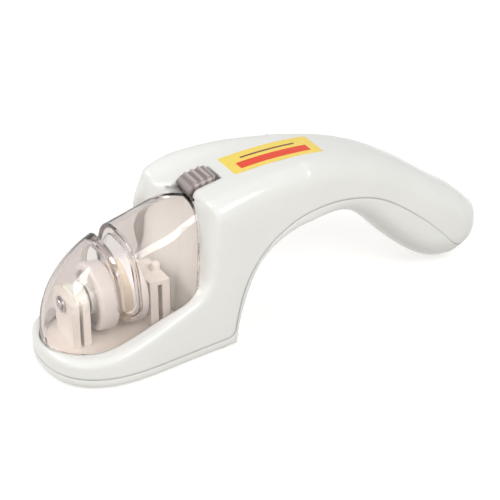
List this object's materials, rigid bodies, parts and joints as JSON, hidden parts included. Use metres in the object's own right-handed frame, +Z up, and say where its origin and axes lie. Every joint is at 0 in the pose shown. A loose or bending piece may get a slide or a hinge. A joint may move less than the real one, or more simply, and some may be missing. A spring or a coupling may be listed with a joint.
{
  "type": "manual knife sharpener",
  "caption": "Hand-held kitchen knife sharpener with an arched grip, a smoked swing-up cover with a blade slot, and a grinding wheel set that turns inside.",
  "frame": {"origin": "middle of the bounding box, at the height of the table", "axes": "+X from the wheel head's nose towards the tail of the handle, +Y across the object, +Z up; the object stands on its base pads"},
  "size_m": [0.1936, 0.0526, 0.0675],
  "materials": {
    "white_shell": "glossy, slightly cool white",
    "smoked_plastic": "clear smoked plastic, glossy",
    "dark_plastic": "dark smoked plastic, glossy",
    "ivory_plastic": "satin ivory",
    "bush_plastic": "satin greenish white",
    "wheel_plastic": "satin pinkish white",
    "abrasive_ceramic": "fine-grained beige",
    "steel": "bright",
    "grey_rubber": "matte",
    "yellow_label": "printed film, satin"
  },
  "bodies": {
    "frame": {"upper_body": "white_shell", "lower_body": "white_shell", "wheel_carrier": "ivory_plastic", "front_bearing_cap": "ivory_plastic", "rear_bearing_cap": "ivory_plastic", "axle": "steel", "axle_clips": "steel", "front_bush": "bush_plastic", "rear_bush": "bush_plastic", "front_thrust_washer": "steel", "rear_thrust_washer": "steel", "carrier_screws": "steel", "base_screws": "steel", "handle_screws": "steel", "front_foot_pads": "grey_rubber", "rear_foot_pads": "grey_rubber", "label_sticker": "yellow_label", "release_spring": "steel"},
    "wheel_set": {"wheel_hub": "bush_plastic", "hub_collar": "bush_plastic", "wheel_spacer": "bush_plastic", "front_wheel": "wheel_plastic", "rear_wheel": "wheel_plastic", "front_grinding_ring": "abrasive_ceramic", "rear_grinding_ring": "abrasive_ceramic"},
    "cover": {"smoked_cover": "smoked_plastic"},
    "release": {"release_slide": "dark_plastic"}
  },
  "joints": [
    {"name": "wheel_spin", "type": "hinge", "parent": "frame", "child": "wheel_set", "pos_m": [-0.06675, 0, 0.026], "axis": [1, 0, 0], "continuous": true},
    {"name": "cover_swing", "type": "hinge", "parent": "frame", "child": "cover", "pos_m": [-0.09475, 0, 0.013], "axis": [0, -1, 0], "range_deg": [0, 60]},
    {"name": "release_travel", "type": "slide", "parent": "frame", "child": "release", "axis": [1, 0, 0], "range_m": [0, 0.002], "stiffness_N_per_m": 400, "springref_m": -0.002, "deforming": ["release_spring"]}
  ]
}
